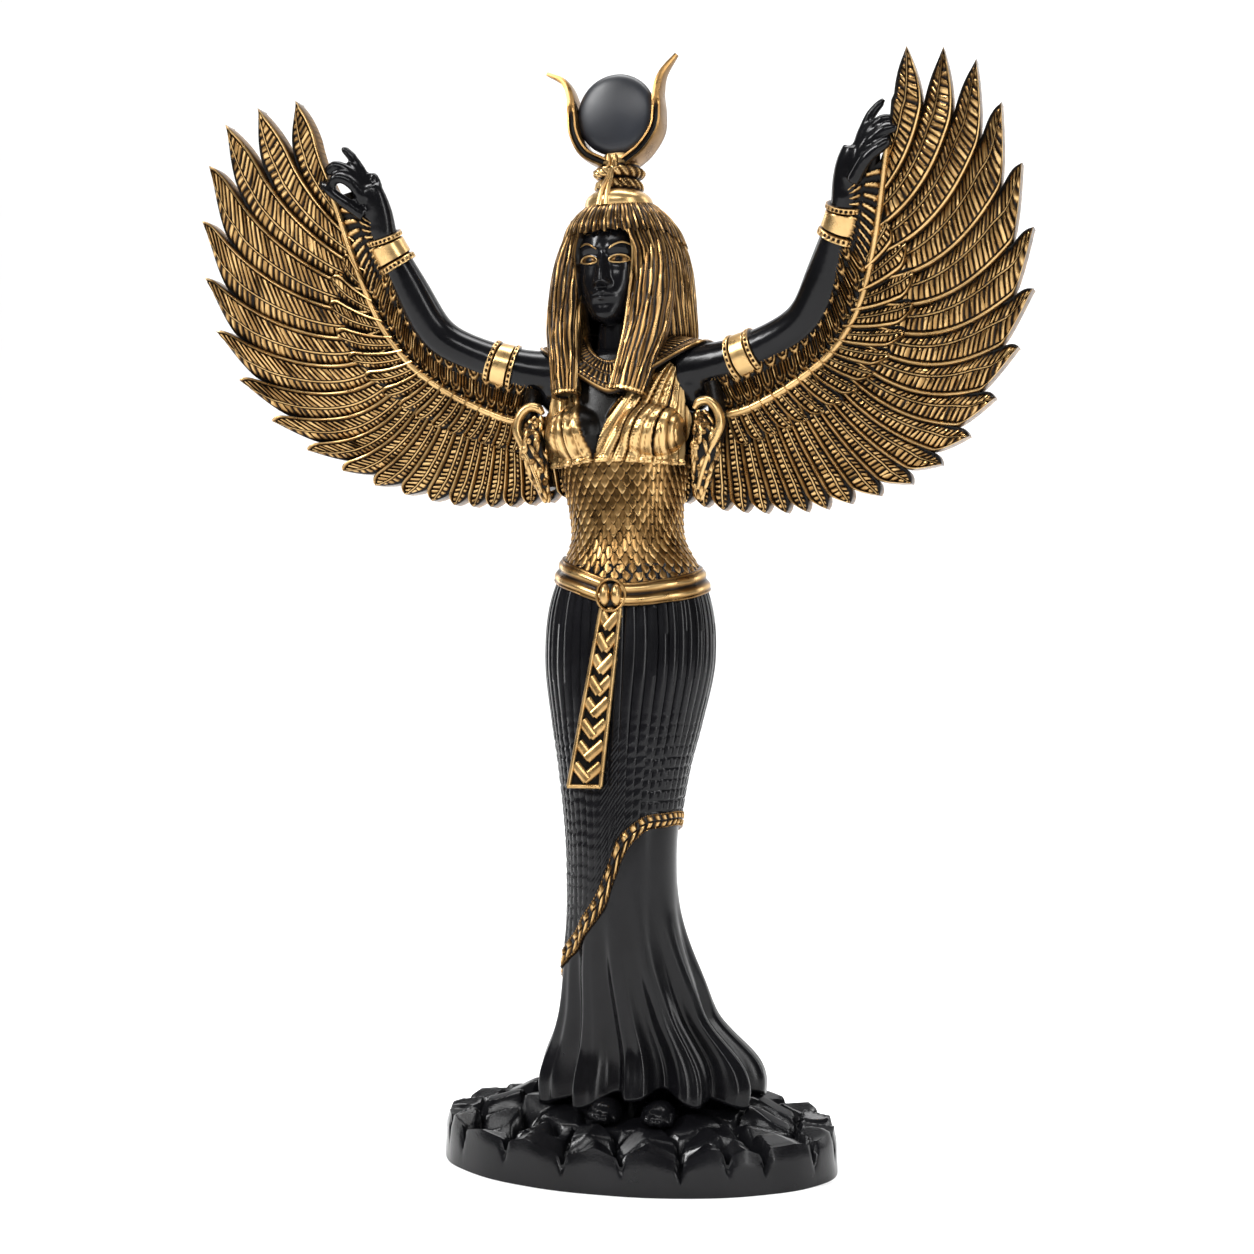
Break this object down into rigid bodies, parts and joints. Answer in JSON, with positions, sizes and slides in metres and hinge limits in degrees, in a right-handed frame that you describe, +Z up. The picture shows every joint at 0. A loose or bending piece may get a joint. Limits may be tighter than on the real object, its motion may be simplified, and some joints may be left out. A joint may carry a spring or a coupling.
{
  "type": "isis statue",
  "caption": "Standing goddess figure with raised arms and spread feathered wings, in a pleated skirt, on an oval rocky stand.",
  "frame": {"origin": "centre of the oval stand's flat underside", "axes": "+Z up along the standing figure, the face looks along -Y, and +X is to the right of a viewer in front"},
  "size_m": [0.2234, 0.0826, 0.2981],
  "materials": {
    "black_gloss": "glossy black enamel over cast resin",
    "antique_gold": "antique gold paint with dark patina in the recesses"
  },
  "bodies": {
    "root": {"isis_statue": "black_gloss"}
  },
  "joints": []
}
